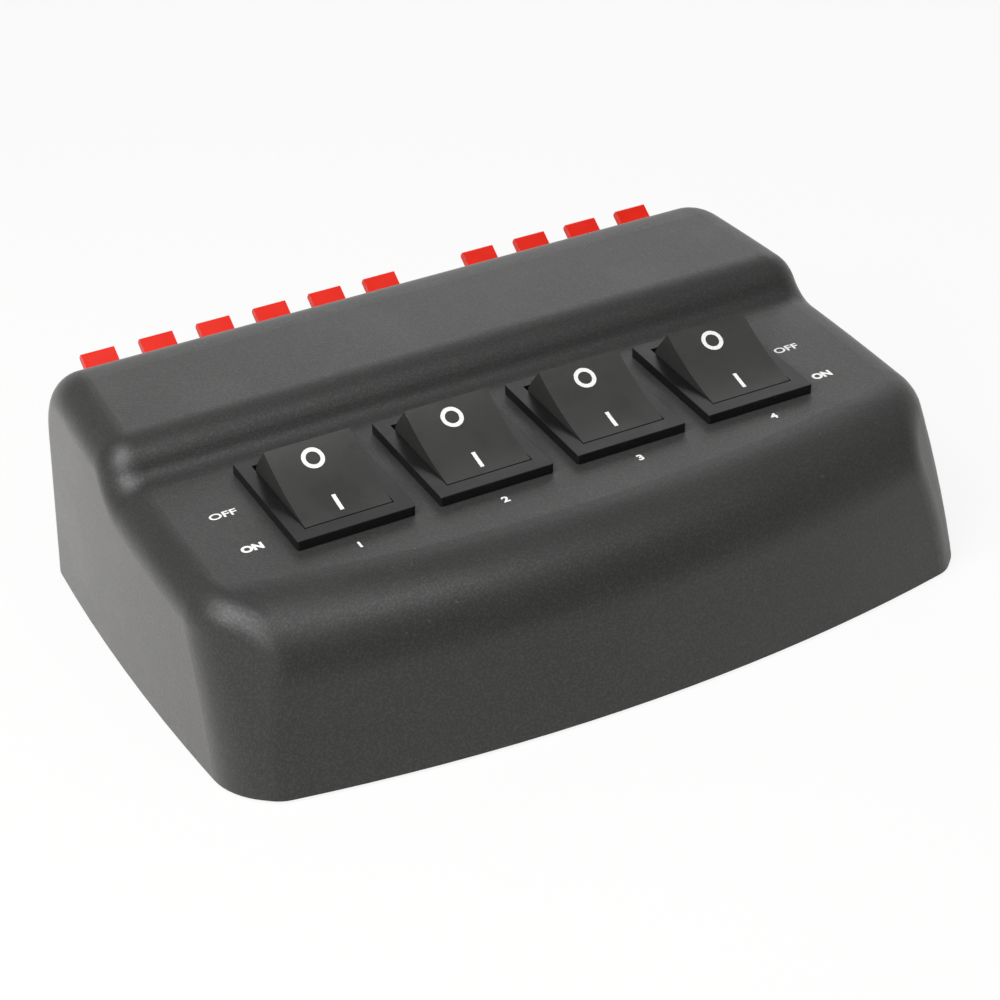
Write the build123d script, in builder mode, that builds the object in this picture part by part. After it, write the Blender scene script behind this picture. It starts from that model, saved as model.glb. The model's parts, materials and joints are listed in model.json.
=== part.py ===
from build123d import *
import os
from math import asin, cos, degrees, radians, sin, sqrt, tan

# Four-way loudspeaker selector box: a sloped plastic case with four rocker switches on its
# panel and two blocks of sprung wire clips in its rear wall.
# Millimetres. X runs to the right, Y to the back, Z up. The origin is on the table, under the
# middle of the box. An "offset" is a distance behind the foremost point of the case's rim, and
# a "height" is a distance above the rim.

os.makedirs("parts", exist_ok=True)

# ---- case ---------------------------------------------------------------------------------
case_width = 171.5
case_depth = 120.0
rim_lift = 0.6
wall = 2.4
side_draft = 3.0
back_lean = 3.0
front_lean = 11.0
front_bow_radius = 361.0
side_bow_radius = 714.0
side_apex_offset = 49.2
corner_setback = 11.87
corner_radius = 16.0
corner_turn = 45.0
corner_curl = 0.0045
edge_radius = 7.5
roll_radius = 18.5
panel_offset = 32.3
panel_height = 37.3
panel_slope = 6.0
step_gap = 6.57
step_rise = 6.6
step_slope = 57.0
ridge_setback = 7.2
ridge_rise = 4.8
ridge_slope = 4.5
valley_radius = 6.0
brow_radius = 9.0
back_radius = 17.0
form_spare = 2.1

# ---- base plate, its screws and feet ------------------------------------------------------
plate_thickness = 2.4
plate_gap = 0.15
front_screw_inset = 19.75
front_screw_offset = 30.0
back_screw_inset = 15.75
back_screw_setback = 32.0
case_boss_radius = 3.75
case_screw_radius = 1.45
case_screw_head_radius = 2.8
case_screw_length = 9.0
screw_gap = 0.05
cross_length = 3.9
cross_width = 0.9
cross_depth = 0.8
front_foot_inset = 27.75
front_foot_offset = 17.0
back_foot_inset = 17.75
back_foot_setback = 14.0
foot_radius = 6.0
foot_thickness = 1.6
foot_gap = 0.2
foot_chamfer = 0.3

# ---- rocker switches ----------------------------------------------------------------------
switch_count = 4
switch_pitch = 30.95
bezel_side_rim = 1.95
bezel_end_rim = 1.6
bezel_thickness = 2.2
bezel_edge = 0.15
bezel_corner = 0.6
housing_side_wall = 1.15
housing_end_wall = 1.05
housing_depth = 22.0
housing_floor = 1.5
cutout_gap = 0.2
snap_height = 3.5
snap_reach = 0.9
snap_width = 10.8
rocker_window_width = 19.3
rocker_window_length = 25.0
rocker_shift = 0.35
rocker_side_gap = 0.25
rocker_end_gap = 0.6
rocker_corner_reach = 1.1
rocker_corner_angle = 49.2
rocker_skirt_angle = 100.0
rocker_tilt = 20.0
rocker_dish = 1.0
rocker_wall = 1.6
rocker_pin_radius = 1.5
rocker_pin_gap = 0.08
rocker_pin_reach = 1.0
pole_spacing = 10.0
plunger_radius = 1.35
plunger_reach = 11.65
plunger_slide_gap = 0.1
plunger_tube_wall = 0.75
plunger_tube_bottom = 4.0
plunger_top = -1.0
spring_seat = 4.4
spring_wire_radius = 0.2
spring_coil_radius = 1.0
spring_turns = 5
spring_end_gap = 0.05
fulcrum_below_pivot = 12.2
seesaw_angle = 14.0
seesaw_tilt = 8.0
seesaw_half_length = 8.0
seesaw_thickness = 0.5
seesaw_width = 4.0
contact_gap = 0.1
contact_radius = 1.1
contact_height = 0.5
lug_width = 4.8
lug_thickness = 0.8
lug_gap = 0.05
common_lug_end = 30.0
throw_lug_end = 26.0
throw_lug_gap = 0.6
lug_head_gap = 0.3
shelf_length = 3.7

# ---- rear wire clips ----------------------------------------------------------------------
group_columns = [6, 4]
group_gap = 11.75
left_margin = 6.5
right_margin = 0.75
row_pitch = 16.0
recess_depth = 5.2
recess_side = 2.54
recess_headroom = 2.5
recess_floor_gap = 2.4
recess_corner = 1.5
ridge_cover = 6.9
block_proud = 0.8
block_depth = 17.8
block_top_wall = 1.8
block_floor = 1.3
block_edge = 0.4
block_flange = 1.2
block_flange_thickness = 1.6
block_flange_corner = 3.0
window_gap = 0.15
lever_pivot_depth = 3.15
lever_angle = 40.0
lever_length = 16.5
lever_thickness = 2.0
lever_tip_round = 0.5
lever_width = 7.7
lever_gap = 0.25
lever_hub_radius = 2.4
lever_pin_radius = 1.0
lever_pin_gap = 0.08
lever_pin_reach = 1.1
lever_pin_end_gap = 0.1
nose_angle = -100.0
nose_length = 5.2
nose_thickness = 1.6
nose_width = 1.5
nose_inset = 0.2
slot_gap = 0.25
hub_gap = 0.5
slot_behind_pivot = 3.6
chamber_above_pivot = 2.6
chamber_below_pivot = 8.6
face_wall = 1.8
wire_hole_radius = 1.7
wire_hole_drop = 5.7
funnel_radius = 2.2
funnel_depth = 0.8
tab_thickness = 0.5
tab_width = 6.0
tab_start = 1.0
pin_width = 0.9
pin_stub = 1.0
cut_spare = 1.0
leaf_thickness = 0.4
leaf_back = 2.1
leaf_top = 2.7
leaf_foot = 3.0
leaf_window_width = 3.4
leaf_window_height = 3.2

# ---- terminal board and wires -------------------------------------------------------------
board_thickness = 1.6
board_left_reach = 0.7
board_right_gap = 0.3
board_rise = 2.1
board_corner = 1.5
board_hole_radius = 0.6
standoff_radius = 3.0
standoff_gap = 0.3
standoff_spacing = 20.0
board_screw_radius = 1.25
board_screw_head_radius = 2.3
board_screw_head = 1.5
board_screw_length = 8.0
wire_radius = 0.8
feed_wire_drop = 6.0
speaker_wire_drop = 2.0
wire_bend = 6.0
wire_lead = 8.0
wire_joint = 1.5

# ---- worked out from the sizes above ------------------------------------------------------
plate_top = rim_lift + plate_thickness
front_recession = front_bow_radius - sqrt(front_bow_radius**2 - (case_width / 2) ** 2)
corner_start_offset = front_recession + corner_setback

housing_width = rocker_window_width + 2 * housing_side_wall
housing_length = rocker_window_length + 2 * (rocker_shift + housing_end_wall)
bezel_width = housing_width + 2 * bezel_side_rim
bezel_length = housing_length + 2 * bezel_end_rim
switch_xs = [(n - (switch_count - 1) / 2) * switch_pitch for n in range(switch_count)]
poles = [-pole_spacing / 2, pole_spacing / 2]
rocker_width = rocker_window_width - 2 * rocker_side_gap
rocker_radius = rocker_window_length / 2 - rocker_end_gap
rocker_corner_radius = rocker_radius + rocker_corner_reach
# the pressed corner comes level with the bezel
pivot_up = bezel_thickness - rocker_corner_radius * cos(radians(rocker_corner_angle + rocker_tilt))
fulcrum_depth = fulcrum_below_pivot - pivot_up
throw_along = rocker_shift + seesaw_half_length + throw_lug_gap

step_offset = panel_offset + bezel_length * cos(radians(panel_slope)) + step_gap
step_height = panel_height + step_rise
ridge_offset = step_offset + ridge_setback
ridge_height = step_height + ridge_rise

cell_width = lever_width + 2 * lever_gap
lever_rise = (lever_thickness / 2 + lever_pivot_depth * sin(radians(lever_angle))) / cos(radians(lever_angle))
slot_above_pivot = lever_rise + slot_gap
slot_below_pivot = lever_hub_radius + hub_gap
block_above_row = slot_above_pivot + block_top_wall
block_below_row = chamber_below_pivot + block_floor
recess_offset = case_depth - recess_depth
recess_top = ridge_height - ridge_cover
back_recession = side_bow_radius - sqrt(side_bow_radius**2 - (case_depth - side_apex_offset) ** 2)
back_half_width = case_width / 2 - back_recession - recess_top * tan(radians(side_draft))
recess_half_width = back_half_width - recess_side
block_top = recess_top - recess_headroom
row_heights = [block_top - block_above_row, block_top - block_above_row - row_pitch]
block_bottom = row_heights[-1] - block_below_row
recess_bottom = block_bottom - recess_floor_gap
column_pitch = (2 * recess_half_width - left_margin - right_margin - group_gap) / sum(group_columns)
blocks_left = left_margin - recess_half_width
blocks_gap_middle = blocks_left + group_columns[0] * column_pitch + group_gap / 2
block_face_offset = recess_offset + block_proud
block_back_offset = block_face_offset - block_depth
backing_offset = recess_offset - wall
lever_pivot_offset = block_face_offset - lever_pivot_depth
lever_reach = lever_length * cos(radians(lever_angle)) + lever_thickness / 2 * sin(radians(lever_angle))
front_y = -(lever_pivot_offset + lever_reach) / 2

board_offset = block_back_offset - board_thickness
board_left = -recess_half_width - board_left_reach
board_right = recess_half_width - board_right_gap
board_top = block_top + board_rise
block_middle = (block_top + block_bottom) / 2
standoff_places = [
    (blocks_left - block_flange - standoff_gap - standoff_radius, block_middle),
    (blocks_gap_middle, block_middle - standoff_spacing / 2),
    (blocks_gap_middle, block_middle + standoff_spacing / 2),
]


def both_sides(inset, offset):
    """A spot at an inset from the case's side, and its mirror image."""
    reach = case_width / 2 - inset
    return [(reach, front_y + offset), (-reach, front_y + offset)]


case_screw_spots = both_sides(front_screw_inset, front_screw_offset)
case_screw_spots += both_sides(back_screw_inset, case_depth - back_screw_setback)
foot_spots = both_sides(front_foot_inset, front_foot_offset)
foot_spots += both_sides(back_foot_inset, case_depth - back_foot_setback)


def lines_meet(offset_a, height_a, slope_a, offset_b, height_b, slope_b):
    """Where two straight lines of a side view cross, each given by a point and a slope."""
    rise_a = tan(radians(slope_a))
    rise_b = tan(radians(slope_b))
    offset = (height_b - height_a + rise_a * offset_a - rise_b * offset_b) / (rise_a - rise_b)
    return offset, height_a + rise_a * (offset - offset_a)


def column_xs(group):
    """The middles of one block's clip columns."""
    start = blocks_left + group * (group_columns[0] * column_pitch + group_gap)
    return [start + (n + 0.5) * column_pitch for n in range(group_columns[group])]


def seat_plane(x, along=0.0, up=0.0, tilt=0.0):
    """A plane on the sloped panel under switch x, moved along the slope and up its normal."""
    slope = radians(panel_slope)
    from_start = bezel_length / 2 + along
    seat_y = front_y + panel_offset + from_start * cos(slope) - up * sin(slope)
    seat_z = rim_lift + panel_height + from_start * sin(slope) + up * cos(slope)
    turned = radians(panel_slope + tilt)
    return Plane(origin=(x, seat_y, seat_z), x_dir=(1, 0, 0), z_dir=(0, -sin(turned), cos(turned)))


def side_plane(plane, x):
    """The plane across the X axis through a plane's origin, shifted to x: its own axes are back and up."""
    return Plane(origin=(x, plane.origin.Y, plane.origin.Z), x_dir=plane.y_dir, z_dir=(1, 0, 0))


def save(piece, name):
    piece.part.label = name
    export_step(piece.part, f"parts/{name}.step")


# ---- the case's outer form ----------------------------------------------------------------
valley = lines_meet(panel_offset, panel_height, panel_slope, step_offset, step_height, step_slope)
brow = lines_meet(step_offset, step_height, step_slope, ridge_offset, ridge_height, ridge_slope)
back_top = lines_meet(ridge_offset, ridge_height, ridge_slope, case_depth, 0, 90 + back_lean)
past_case = 40.0
form_top = back_top[1] + form_spare


def at(offset, height):
    """A point of the side view in the part's own Y and Z."""
    return front_y + offset, rim_lift + height


def near(offset):
    """Picks the corners of the side view that stand at an offset."""
    return lambda corner: abs(corner.X - front_y - offset) < 0.01


with BuildPart() as case_form:
    with BuildSketch(Plane.YZ) as side_view:
        with BuildLine():
            Polyline(
                at(-past_case, 0),
                at(-past_case, panel_height - (panel_offset + past_case) * tan(radians(panel_slope))),
                at(*valley),
                at(*brow),
                at(*back_top),
                at(case_depth, 0),
                close=True,
            )
        make_face()
        fillet(side_view.vertices().filter_by(near(valley[0])), radius=valley_radius)
        fillet(side_view.vertices().filter_by(near(brow[0])), radius=brow_radius)
        fillet(side_view.vertices().filter_by(near(back_top[0])), radius=back_radius)
    extrude(amount=case_width, both=True)
    # plan outlines, whose front corners draw back faster than they rise
    for level in (0, form_top / 3, form_top * 2 / 3, form_top):
        with BuildSketch(Plane.XY.offset(rim_lift + level)):
            with BuildLine():
                corner_offset = corner_start_offset + level * tan(radians(front_lean)) + corner_curl * level**2
                ahead = degrees(asin((side_apex_offset - corner_offset) / side_bow_radius))
                behind = degrees(asin((case_depth + past_case - side_apex_offset) / side_bow_radius))
                widest = (case_width / 2 - level * tan(radians(side_draft)), front_y + side_apex_offset)
                rear_bow = JernArc(widest, (0, 1), side_bow_radius, behind)
                front_bow = JernArc(widest, (0, -1), side_bow_radius, -ahead)
                corner = JernArc(front_bow @ 1, front_bow % 1, corner_radius, -corner_turn)
                tail = Line(corner @ 1, corner @ 1 + (corner % 1) * past_case * 0.75)
                Line(tail @ 1, (0, (tail @ 1).Y))
                Line(rear_bow @ 1, (0, (rear_bow @ 1).Y))
                mirror(about=Plane.YZ)
            make_face()
    loft(mode=Mode.INTERSECT)
    # the front wall is a leaning, bowed surface
    with Locations((0, front_y + front_bow_radius, rim_lift)):
        Cone(
            front_bow_radius,
            front_bow_radius - form_top * tan(radians(front_lean)),
            form_top,
            align=(Align.CENTER, Align.CENTER, Align.MIN),
            mode=Mode.INTERSECT,
        )
    panel_front = case_form.edges().filter_by(lambda edge: edge.center().Z > panel_height / 2)
    fillet(panel_front.sort_by(lambda edge: edge.center().Y)[0], radius=roll_radius)
    side_edges = (
        case_form.edges()
        .filter_by(lambda edge: edge.center().Z > rim_lift + 1)
        .filter_by(lambda edge: abs(edge.center().X) > case_width / 3)
    )
    fillet(side_edges, radius=edge_radius)

# ---- top shell ----------------------------------------------------------------------------
with BuildPart() as hollow_case:
    add(case_form.part)
    offset(amount=-wall, openings=hollow_case.faces().sort_by(Axis.Z)[0])

with BuildPart() as top_shell:
    add(hollow_case.part)
    # the wall that backs the rear recess
    with BuildSketch(Plane.XZ.offset(-(front_y + backing_offset))):
        with Locations((0, (plate_top + rim_lift + recess_top + wall) / 2)):
            Rectangle(2 * (recess_half_width + wall), rim_lift + recess_top + wall - plate_top)
    extrude(amount=-(case_depth - backing_offset))
    # screw bosses for the base plate, and standoffs for the terminal board
    with BuildSketch(Plane.XY.offset(plate_top)):
        with Locations(*case_screw_spots):
            Circle(case_boss_radius)
    extrude(amount=form_top)
    with BuildSketch(Plane.XZ.offset(-(front_y + block_back_offset))):
        for x, height in standoff_places:
            with Locations((x, rim_lift + height)):
                Circle(standoff_radius)
    extrude(amount=-(backing_offset - block_back_offset))
    add(case_form.part, mode=Mode.INTERSECT)
    # the rear recess and the windows of the two clip blocks
    with BuildSketch(Plane.XZ.offset(-(front_y + recess_offset))) as recess:
        with Locations((0, rim_lift + (recess_bottom + recess_top) / 2)):
            Rectangle(2 * recess_half_width, recess_top - recess_bottom)
        fillet(recess.vertices(), radius=recess_corner)
    extrude(amount=-(case_depth - recess_offset), mode=Mode.SUBTRACT)
    with BuildSketch(Plane.XZ.offset(-(front_y + backing_offset))):
        for group in range(len(group_columns)):
            xs = column_xs(group)
            with Locations(((xs[0] + xs[-1]) / 2, rim_lift + block_middle)):
                Rectangle(len(xs) * column_pitch + 2 * window_gap, block_top - block_bottom + 2 * window_gap)
    extrude(amount=-(case_depth - backing_offset), mode=Mode.SUBTRACT)
    # the switch cut-outs in the panel
    for x in switch_xs:
        with BuildSketch(seat_plane(x, up=wall)):
            Rectangle(housing_width + 2 * cutout_gap, housing_length + 2 * cutout_gap)
        extrude(amount=-3 * wall, mode=Mode.SUBTRACT)
    # pilot holes
    with BuildSketch(Plane.XY.offset(plate_top)):
        with Locations(*case_screw_spots):
            Circle(case_screw_radius + screw_gap)
    extrude(amount=case_screw_length, mode=Mode.SUBTRACT)
    with BuildSketch(Plane.XZ.offset(-(front_y + block_back_offset))):
        for x, height in standoff_places:
            with Locations((x, rim_lift + height)):
                Circle(board_screw_radius + screw_gap)
    extrude(amount=-board_screw_length, mode=Mode.SUBTRACT)
save(top_shell, "top_shell")

# ---- base plate ---------------------------------------------------------------------------
with BuildPart() as rim_ring:
    add(case_form.part)
    offset(amount=-wall - plate_gap, openings=rim_ring.faces().sort_by(Axis.Z)[0])

with BuildPart() as base_plate:
    add(case_form.part)
    add(rim_ring.part, mode=Mode.SUBTRACT)
    split(bisect_by=Plane.XY.offset(plate_top), keep=Keep.BOTTOM)
    with BuildSketch(Plane.XY.offset(rim_lift)):
        with Locations(*foot_spots):
            Circle(foot_radius + foot_gap)
    extrude(amount=foot_thickness - rim_lift, mode=Mode.SUBTRACT)
    with Locations(*[Plane((x, y, rim_lift), z_dir=(0, 0, -1)) for x, y in case_screw_spots]):
        CounterSinkHole(case_screw_radius + screw_gap, case_screw_head_radius + screw_gap, plate_thickness)
save(base_plate, "base_plate")

head_cone = case_screw_head_radius - case_screw_radius
with BuildPart() as case_screws:
    for x, y in case_screw_spots:
        head = (x, y, rim_lift)
        with BuildSketch(Plane(head, x_dir=(1, 0, 0), z_dir=(0, -1, 0))):
            with BuildLine():
                Polyline(
                    (0, 0),
                    (case_screw_head_radius, 0),
                    (case_screw_radius, head_cone),
                    (case_screw_radius, case_screw_length),
                    (0, case_screw_length + case_screw_radius),
                    close=True,
                )
            make_face()
        revolve(axis=Axis(head, (0, 0, 1)))
        with BuildSketch(Plane(head)):
            SlotOverall(cross_length, cross_width)
            SlotOverall(cross_length, cross_width, rotation=90)
        extrude(amount=cross_depth, mode=Mode.SUBTRACT)
save(case_screws, "case_screws")

with BuildPart() as rubber_feet:
    with BuildSketch():
        with Locations(*foot_spots):
            Circle(foot_radius)
    extrude(amount=foot_thickness)
    chamfer(rubber_feet.edges().group_by(Axis.Z)[0], length=foot_chamfer)
save(rubber_feet, "rubber_feet")


# ---- rocker switches ----------------------------------------------------------------------


def on_circle(radius, angle):
    """A point at an angle from straight up, in a side view."""
    return radius * sin(radians(angle)), radius * cos(radians(angle))


def switch_body(x):
    """Housing with its bezel, the rocker's window, pin holes, snap wedges and lug slots."""
    with BuildPart() as body:
        with BuildSketch(seat_plane(x)):
            RectangleRounded(bezel_width, bezel_length, bezel_corner)
        extrude(amount=bezel_thickness)
        fillet(body.faces().sort_by(lambda face: face.center().Z)[-1].edges(), radius=bezel_edge)
        with BuildSketch(seat_plane(x)):
            Rectangle(housing_width, housing_length)
        extrude(amount=-housing_depth)
        with BuildSketch(seat_plane(x, up=bezel_thickness)):
            with Locations((0, rocker_shift)):
                Rectangle(rocker_window_width, rocker_window_length)
        extrude(amount=-(bezel_thickness + housing_depth - housing_floor), mode=Mode.SUBTRACT)
        with BuildSketch(side_plane(seat_plane(x, rocker_shift, pivot_up), x)):
            Circle(rocker_pin_radius + rocker_pin_gap)
        extrude(amount=housing_width / 2, both=True, mode=Mode.SUBTRACT)
        with BuildSketch(side_plane(seat_plane(x), x)):
            for end in (-1, 1):
                with BuildLine():
                    Polyline(
                        (end * housing_length / 2, -wall - cutout_gap),
                        (end * (housing_length / 2 + snap_reach), -wall - cutout_gap),
                        (end * housing_length / 2, -wall - cutout_gap - snap_height),
                        close=True,
                    )
                make_face()
        extrude(amount=snap_width / 2, both=True)
        with BuildSketch(seat_plane(x, up=-housing_depth)):
            for pole in poles:
                with Locations((pole, rocker_shift), (pole, throw_along)):
                    Rectangle(lug_width + 2 * lug_gap, lug_thickness + 2 * lug_gap)
        extrude(amount=housing_floor, mode=Mode.SUBTRACT)
    return body


def rocker_outline(inset):
    """The rocker's side view, drawn in by inset: a dished face, sloped ends and a round skirt."""
    corner_y, corner_z = on_circle(rocker_corner_radius, rocker_corner_angle)
    corner_y -= inset
    corner_z -= inset
    end_radius = rocker_radius - inset
    knee_y, knee_z = on_circle(end_radius, 90 - rocker_tilt)
    waist_y, waist_z = on_circle(end_radius, 90)
    skirt_y, skirt_z = on_circle(end_radius, rocker_skirt_angle + degrees(inset / end_radius))
    with BuildLine() as outline:
        ThreePointArc((-corner_y, corner_z), (0, corner_z - rocker_dish), (corner_y, corner_z))
        Line((corner_y, corner_z), (knee_y, knee_z))
        ThreePointArc((knee_y, knee_z), (waist_y, waist_z), (skirt_y, skirt_z))
        Line((skirt_y, skirt_z), (-skirt_y, skirt_z))
        ThreePointArc((-skirt_y, skirt_z), (-waist_y, waist_z), (-knee_y, knee_z))
        Line((-knee_y, knee_z), (-corner_y, corner_z))
    return outline.edges()


def rocker(x):
    """The dished rocker, hollow below, with its pivot pins and two plunger tubes."""
    seat = seat_plane(x, rocker_shift, pivot_up, rocker_tilt)
    across = side_plane(seat, x)
    corner_z = rocker_corner_radius * cos(radians(rocker_corner_angle))
    with BuildPart() as body:
        with BuildSketch(across):
            make_face(rocker_outline(0))
        extrude(amount=rocker_width / 2, both=True)
        with BuildSketch(across):
            make_face(rocker_outline(rocker_wall))
        extrude(amount=rocker_width / 2 - rocker_wall, both=True, mode=Mode.SUBTRACT)
        with BuildSketch(across):
            Circle(rocker_pin_radius)
        extrude(amount=rocker_width / 2 + rocker_pin_reach, both=True)
        with BuildSketch(across):
            Circle(rocker_pin_radius)
        extrude(amount=rocker_width / 2 - rocker_wall, both=True, mode=Mode.SUBTRACT)
        tube_plane = Plane(seat.origin - seat.z_dir * plunger_tube_bottom, x_dir=seat.x_dir, z_dir=seat.z_dir)
        tube_height = plunger_tube_bottom + corner_z - rocker_dish - rocker_wall / 2
        with BuildSketch(tube_plane):
            with Locations(*[(pole, 0) for pole in poles]):
                Circle(plunger_radius + plunger_slide_gap + plunger_tube_wall)
        extrude(amount=tube_height)
        with BuildSketch(tube_plane):
            with Locations(*[(pole, 0) for pole in poles]):
                Circle(plunger_radius + plunger_slide_gap)
        extrude(amount=plunger_tube_bottom + spring_seat, mode=Mode.SUBTRACT)
    return body


def plungers(x):
    """Two round-ended plungers that the rocker carries."""
    seat = seat_plane(x, rocker_shift, pivot_up, rocker_tilt)
    with BuildPart() as body:
        for pole in poles:
            across = side_plane(seat, x + pole)
            with BuildSketch(across):
                with BuildLine():
                    round_end = plunger_radius - plunger_reach
                    Line((0, -plunger_reach), (0, plunger_top))
                    Line((0, plunger_top), (plunger_radius, plunger_top))
                    Line((plunger_radius, plunger_top), (plunger_radius, round_end))
                    RadiusArc((plunger_radius, round_end), (0, -plunger_reach), plunger_radius)
                make_face()
            revolve(axis=Axis(across.origin, seat.z_dir))
    return body


def plunger_springs(x):
    """The coil springs above the plungers."""
    seat = seat_plane(x, rocker_shift, pivot_up, rocker_tilt)
    end_room = spring_wire_radius + spring_end_gap
    height = spring_seat - plunger_top - 2 * end_room
    with BuildPart() as body:
        for pole in poles:
            foot = seat.origin + seat.x_dir * pole + seat.z_dir * (plunger_top + end_room)
            with BuildLine():
                coil = Helix(height / spring_turns, height, spring_coil_radius, foot, seat.z_dir)
            with BuildSketch(Plane(coil @ 0, z_dir=coil % 0)):
                Circle(spring_wire_radius)
            sweep(path=coil, is_frenet=True)
    return body


def seesaws(x):
    """The two rocking contact strips under the plungers, each with a contact button."""
    seat = seat_plane(x, rocker_shift, -fulcrum_depth, -seesaw_tilt)
    end_y = seesaw_half_length * cos(radians(seesaw_angle))
    end_z = seesaw_half_length * sin(radians(seesaw_angle))
    half = seesaw_thickness / 2
    with BuildPart() as body:
        for pole in poles:
            with BuildSketch(side_plane(seat, x + pole)):
                with BuildLine():
                    Polyline(
                        (-end_y, end_z + half),
                        (0, half),
                        (end_y, end_z + half),
                        (end_y, end_z - half),
                        (0, -half),
                        (-end_y, end_z - half),
                        close=True,
                    )
                make_face()
            extrude(amount=seesaw_width / 2, both=True)
            button_up = end_z - half - contact_radius * sin(radians(seesaw_angle)) - contact_height
            button = Plane(
                seat.origin + seat.x_dir * pole + seat.y_dir * (end_y - contact_radius) + seat.z_dir * button_up,
                x_dir=seat.x_dir,
                z_dir=seat.z_dir,
            )
            with BuildSketch(button):
                Circle(contact_radius)
            extrude(amount=contact_height + seesaw_thickness / 2)
    return body


def switch_lugs(x):
    """Four lugs: two that carry the strips, and two that they close against."""
    rest_end = seesaw_half_length * sin(radians(seesaw_angle - seesaw_tilt))
    shelf_up = rest_end - seesaw_thickness - contact_height - contact_gap
    lug_front = seesaw_half_length + throw_lug_gap - lug_thickness / 2
    lug_back = lug_front + lug_thickness
    with BuildPart() as body:
        for pole in poles:
            with BuildSketch(seat_plane(x, rocker_shift, -common_lug_end)):
                with Locations((pole, 0)):
                    Rectangle(lug_width, lug_thickness)
            extrude(amount=common_lug_end - fulcrum_depth - seesaw_thickness / 2 - lug_head_gap)
            with BuildSketch(side_plane(seat_plane(x, rocker_shift, -fulcrum_depth), x + pole)):
                with BuildLine():
                    Polyline(
                        (lug_front, fulcrum_depth - throw_lug_end),
                        (lug_back, fulcrum_depth - throw_lug_end),
                        (lug_back, shelf_up),
                        (lug_back - shelf_length - lug_thickness, shelf_up),
                        (lug_back - shelf_length - lug_thickness, shelf_up - lug_thickness),
                        (lug_front, shelf_up - lug_thickness),
                        close=True,
                    )
                make_face()
            extrude(amount=lug_width / 2, both=True)
    return body


for number, x in enumerate(switch_xs, start=1):
    save(switch_body(x), f"switch_body_{number}")
    save(rocker(x), f"rocker_{number}")
    save(plungers(x), f"plungers_{number}")
    save(plunger_springs(x), f"plunger_springs_{number}")
    save(seesaws(x), f"contact_seesaws_{number}")
    save(switch_lugs(x), f"switch_lugs_{number}")


# ---- rear wire clips ----------------------------------------------------------------------


def clip_plane(x, height):
    """The side view of one clip: its origin is the lever's pivot, its axes are back and up."""
    pivot = (x, front_y + lever_pivot_offset, rim_lift + height)
    return Plane(origin=pivot, x_dir=(0, 1, 0), z_dir=(1, 0, 0))


def clip_rectangle(low_y, high_y, low_z, high_z):
    """A rectangle of a side view, by its limits."""
    with Locations(((low_y + high_y) / 2, (low_z + high_z) / 2)):
        Rectangle(high_y - low_y, high_z - low_z)


def clip_block(group):
    """One moulded block with a pocket, a spring chamber and a wire hole for each clip."""
    xs = column_xs(group)
    middle = ((xs[0] + xs[-1]) / 2, rim_lift + block_middle)
    width = len(xs) * column_pitch
    height = block_top - block_bottom
    pin_room = lever_width / 2 + lever_pin_reach + lever_pin_end_gap
    with BuildPart() as block:
        with BuildSketch(Plane.XZ.offset(-(front_y + block_back_offset))):
            with Locations(middle):
                Rectangle(width, height)
        extrude(amount=-(block_face_offset - block_back_offset))
        chamfer(block.faces().sort_by(Axis.Y)[-1].edges(), length=block_edge)
        with BuildSketch(Plane.XZ.offset(-(front_y + backing_offset))):
            with Locations(middle):
                RectangleRounded(width + 2 * block_flange, height + 2 * block_flange, block_flange_corner)
        extrude(amount=block_flange_thickness)
        for x in xs:
            for row in row_heights:
                with BuildSketch(clip_plane(x, row)):
                    clip_rectangle(-slot_behind_pivot, lever_pivot_depth, -slot_below_pivot, slot_above_pivot)
                    clip_rectangle(
                        block_back_offset - lever_pivot_offset,
                        lever_pivot_depth - face_wall,
                        -chamber_below_pivot,
                        chamber_above_pivot,
                    )
                extrude(amount=cell_width / 2, both=True, mode=Mode.SUBTRACT)
                with BuildSketch(clip_plane(x, row)):
                    Circle(lever_pin_radius + lever_pin_gap)
                extrude(amount=pin_room, both=True, mode=Mode.SUBTRACT)
                mouth = (x, front_y + block_face_offset, rim_lift + row - wire_hole_drop)
                with Locations(Plane(mouth, z_dir=(0, 1, 0))):
                    CounterBoreHole(wire_hole_radius, funnel_radius, funnel_depth, face_wall)
    return block


def lever(x, row):
    """A clip lever: finger tab, hub on its pins, and two noses that bear on the leaf spring."""
    with BuildPart() as body:
        with BuildSketch(clip_plane(x, row)) as side:
            Circle(lever_hub_radius)
            with Locations(Rotation(0, 0, lever_angle)):
                with Locations((lever_length / 2, 0)):
                    Rectangle(lever_length, lever_thickness)
            fillet(side.vertices().sort_by(Axis.Y)[-2:], radius=lever_tip_round)
        extrude(amount=lever_width / 2, both=True)
        with BuildSketch(clip_plane(x, row)):
            with Locations(Rotation(0, 0, nose_angle)):
                with Locations((nose_length / 2, 0)):
                    Rectangle(nose_length, nose_thickness)
        nose_outer = lever_width / 2 - nose_inset
        extrude(amount=nose_outer, both=True)
        with BuildSketch(clip_plane(x, row)):
            with Locations(Rotation(0, 0, nose_angle)):
                with Locations(((nose_length + lever_hub_radius + cut_spare) / 2, 0)):
                    Rectangle(nose_length - lever_hub_radius + cut_spare, nose_thickness + cut_spare)
        extrude(amount=nose_outer - nose_width, both=True, mode=Mode.SUBTRACT)
        with BuildSketch(clip_plane(x, row)):
            Circle(lever_pin_radius)
        extrude(amount=lever_width / 2 + lever_pin_reach, both=True)
    return body


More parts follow.
